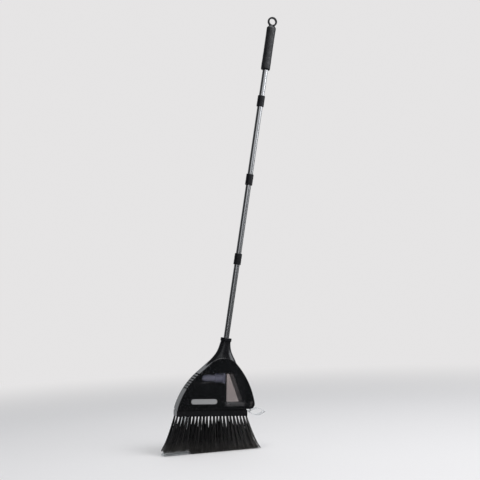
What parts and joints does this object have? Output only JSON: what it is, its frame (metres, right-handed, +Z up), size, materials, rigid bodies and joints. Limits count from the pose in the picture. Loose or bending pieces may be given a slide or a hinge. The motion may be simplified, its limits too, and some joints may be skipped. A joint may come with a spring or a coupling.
{
  "type": "vacuum broom",
  "caption": "Angled floor broom on a screw-together metal handle, with a see-through housing that holds a battery fan, a sprung suction nozzle in the bristles and a pull-out dust drawer.",
  "frame": {"origin": "centre of the bounding box's base: bristle tips stand on Z = 0", "axes": "+Z up from the floor, -Y the front with the smoked cover, handle leans 11.5 degrees towards +X"},
  "size_m": [0.4827, 0.0658, 1.4973],
  "materials": {
    "steel_tube": "polished",
    "black_plastic": "satin",
    "housing_plastic": "gloss",
    "smoked_panel": "gloss",
    "clear_plastic": "gloss",
    "foam": "matte",
    "bristle": "matte",
    "badge": "satin",
    "grey_plastic": "satin",
    "filter_felt": "matte",
    "zinc_steel": "satin",
    "cell_jacket": "satin"
  },
  "bodies": {
    "broom": {"battery_cell_1": "cell_jacket", "battery_cell_2": "cell_jacket", "battery_cell_3": "cell_jacket", "battery_cell_4": "cell_jacket", "battery_contacts": "zinc_steel", "battery_tray": "black_plastic", "bristle_core": "bristle", "bristle_row_front": "bristle", "bristle_row_rear": "bristle", "brush_block": "black_plastic", "coupling_collar_1": "black_plastic", "coupling_collar_2": "black_plastic", "coupling_collar_3": "black_plastic", "dust_chamber": "black_plastic", "fan_motor": "zinc_steel", "fan_shroud": "grey_plastic", "filter_frame": "grey_plastic", "filter_pad": "filter_felt", "foam_grip": "foam", "front_shell": "housing_plastic", "handle_tube_1": "steel_tube", "handle_tube_2": "steel_tube", "handle_tube_3": "steel_tube", "handle_tube_4": "steel_tube", "hang_eye": "black_plastic", "housing_screws": "zinc_steel", "motor_fairing": "grey_plastic", "name_plate": "badge", "neck_collar": "black_plastic", "nozzle_spring": "zinc_steel", "rear_shell": "housing_plastic", "rear_window": "smoked_panel", "smoked_cover": "smoked_panel", "suction_duct": "black_plastic", "thread_insert_1": "black_plastic", "thread_insert_2": "black_plastic", "thread_insert_3": "black_plastic", "thread_stud_1": "black_plastic", "thread_stud_2": "black_plastic", "thread_stud_3": "black_plastic", "trigger_switch": "grey_plastic"},
    "nozzle": {"suction_nozzle": "clear_plastic", "switch_plunger": "black_plastic"},
    "flap": {"inlet_flap": "black_plastic"},
    "fan_wheel": {"impeller": "grey_plastic", "motor_shaft": "zinc_steel"},
    "drawer": {"dust_drawer": "clear_plastic"},
    "battery_cover": {"battery_door": "black_plastic"}
  },
  "joints": [
    {"name": "nozzle_press", "type": "slide", "parent": "broom", "child": "nozzle", "axis": [0.0673, 0, 0.9977], "range_m": [0, 0.005], "stiffness_N_per_m": 250, "springref_m": -0.008, "deforming": ["nozzle_spring"]},
    {"name": "drawer_pull", "type": "slide", "parent": "broom", "child": "drawer", "axis": [0.9977, 0, -0.0673], "range_m": [0, 0.1]},
    {"name": "inlet_flap_swing", "type": "hinge", "parent": "broom", "child": "flap", "pos_m": [-0.01278, 0, 0.18684], "axis": [0, -1, 0], "range_deg": [0, 70], "stiffness_Nm_per_rad": 0.0006, "springref_deg": -14.32},
    {"name": "fan_spin", "type": "hinge", "parent": "broom", "child": "fan_wheel", "pos_m": [-0.03944, 0, 0.24627], "axis": [0.9977, 0, -0.0673], "continuous": true},
    {"name": "battery_door_slide", "type": "slide", "parent": "broom", "child": "battery_cover", "axis": [-0.0673, 0, -0.9977], "range_m": [0, 0.03]}
  ]
}
